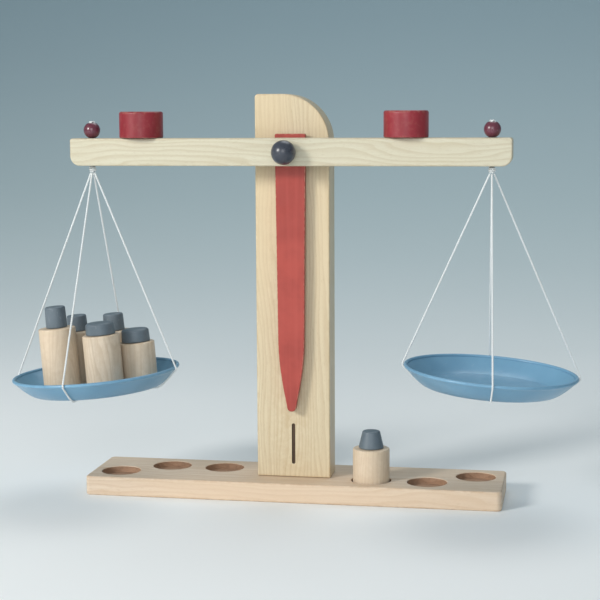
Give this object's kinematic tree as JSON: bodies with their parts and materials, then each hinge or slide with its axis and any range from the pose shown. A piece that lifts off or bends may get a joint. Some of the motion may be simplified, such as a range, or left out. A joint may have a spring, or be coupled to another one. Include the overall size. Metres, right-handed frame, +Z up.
{
  "type": "two-pan beam balance",
  "caption": "Wooden two-pan beam balance: base board with weight recesses, upright, tilting beam with pointer and trim weights, corded dishes and knobbed weights.",
  "frame": {"origin": "middle of the base board's underside, which the balance stands on", "axes": "+Z up; +X to the right along the beam, seen from the front; -Y out of the front, where the beam, the pointer and the dishes are"},
  "size_m": [0.5269, 0.16, 0.374],
  "materials": {
    "base_wood": "clear-lacquered pale wood, satin, softened edges",
    "upright_wood": "clear-lacquered pale wood, satin, grain upright",
    "beam_wood": "clear-lacquered pale wood, satin, grain lengthwise",
    "weight_wood": "smooth turned pale wood, nearly raw",
    "red_paint": "red paint on wood, satin",
    "trim_red": "dark red paint on turned wood, satin",
    "bead_maroon": "maroon lacquer on a turned bead",
    "slate_knob": "slate blue, soft gloss",
    "grey_blue_knob": "grey-blue, soft gloss",
    "pan_blue": "moulded blue plastic, soft gloss",
    "white_cord": "thin twisted white cord",
    "axle_steel": "plain steel pin"
  },
  "bodies": {
    "stand": {"base_board": "base_wood", "upright": "upright_wood", "pivot_axle": "axle_steel", "pivot_knob": "slate_knob", "pivot_spacer": "upright_wood"},
    "beam": {"beam": "beam_wood", "pointer": "red_paint", "left_bead": "bead_maroon", "right_bead": "bead_maroon", "left_end_knot": "white_cord", "right_end_knot": "white_cord"},
    "left_trim": {"left_trim": "trim_red", "left_trim_peg": "beam_wood"},
    "right_trim": {"right_trim": "trim_red", "right_trim_peg": "beam_wood"},
    "left_throat": {"left_throat_cord": "white_cord"},
    "right_throat": {"right_throat_cord": "white_cord"},
    "left_gather": {"left_gather_knot": "white_cord"},
    "right_gather": {"right_gather_knot": "white_cord"},
    "left_dish": {"left_pan": "pan_blue", "left_cord_a": "white_cord", "left_cord_b": "white_cord"},
    "right_dish": {"right_pan": "pan_blue", "right_cord_a": "white_cord", "right_cord_b": "white_cord"},
    "weight_1": {"weight_1": "weight_wood", "weight_1_knob": "grey_blue_knob"},
    "weight_2": {"weight_2": "weight_wood", "weight_2_knob": "grey_blue_knob"},
    "weight_3": {"weight_3": "weight_wood", "weight_3_knob": "grey_blue_knob"},
    "weight_4": {"weight_4": "weight_wood", "weight_4_knob": "grey_blue_knob"},
    "weight_5": {"weight_5": "weight_wood", "weight_5_knob": "grey_blue_knob"},
    "weight_6": {"weight_6": "weight_wood", "weight_6_knob": "grey_blue_knob"}
  },
  "joints": [
    {"name": "beam_tilt", "type": "hinge", "parent": "stand", "child": "beam", "pos_m": [0, -0.0359, 0.322], "axis": [0, -1, 0], "range_deg": [-15, 15]},
    {"name": "left_plumb", "type": "hinge", "parent": "beam", "child": "left_throat", "pos_m": [-0.183, -0.0359, 0.3098], "axis": [0, -1, 0], "range_deg": [-15, 15]},
    {"name": "right_plumb", "type": "hinge", "parent": "beam", "child": "right_throat", "pos_m": [0.183, -0.0359, 0.3098], "axis": [0, -1, 0], "range_deg": [-15, 15]},
    {"name": "left_swing", "type": "hinge", "parent": "left_throat", "child": "left_gather", "pos_m": [-0.183, -0.0359, 0.3034], "axis": [0, -1, 0], "range_deg": [-8, 8]},
    {"name": "right_swing", "type": "hinge", "parent": "right_throat", "child": "right_gather", "pos_m": [0.183, -0.0359, 0.3034], "axis": [0, -1, 0], "range_deg": [-8, 8]},
    {"name": "left_rock", "type": "hinge", "parent": "left_gather", "child": "left_dish", "pos_m": [-0.183, -0.0359, 0.3034], "axis": [1, 0, 0], "range_deg": [-8, 8]},
    {"name": "right_rock", "type": "hinge", "parent": "right_gather", "child": "right_dish", "pos_m": [0.183, -0.0359, 0.3034], "axis": [1, 0, 0], "range_deg": [-8, 8]},
    {"name": "left_trim_slide", "type": "slide", "parent": "beam", "child": "left_trim", "axis": [1, 0, 0], "range_m": [-0.0035, 0.0325]},
    {"name": "right_trim_slide", "type": "slide", "parent": "beam", "child": "right_trim", "axis": [1, 0, 0], "range_m": [-0.0035, 0.0325]},
    {"name": "weight_1_lift", "type": "slide", "parent": "left_dish", "child": "weight_1", "axis": [-0.0802, 0, 0.9968], "range_m": [0, 0.025]},
    {"name": "weight_2_lift", "type": "slide", "parent": "left_dish", "child": "weight_2", "axis": [-0.0802, 0, 0.9968], "range_m": [0, 0.025]},
    {"name": "weight_3_lift", "type": "slide", "parent": "left_dish", "child": "weight_3", "axis": [-0.0802, 0, 0.9968], "range_m": [0, 0.025]},
    {"name": "weight_4_lift", "type": "slide", "parent": "left_dish", "child": "weight_4", "axis": [-0.0802, 0, 0.9968], "range_m": [0, 0.025]},
    {"name": "weight_5_lift", "type": "slide", "parent": "left_dish", "child": "weight_5", "axis": [-0.0802, 0, 0.9968], "range_m": [0, 0.025]},
    {"name": "weight_6_lift", "type": "slide", "parent": "stand", "child": "weight_6", "axis": [0, 0, 1], "range_m": [0, 0.022]}
  ],
  "couplings": [
    {"joint": "left_plumb", "follows": "beam_tilt", "ratio": -1},
    {"joint": "right_plumb", "follows": "beam_tilt", "ratio": -1}
  ]
}
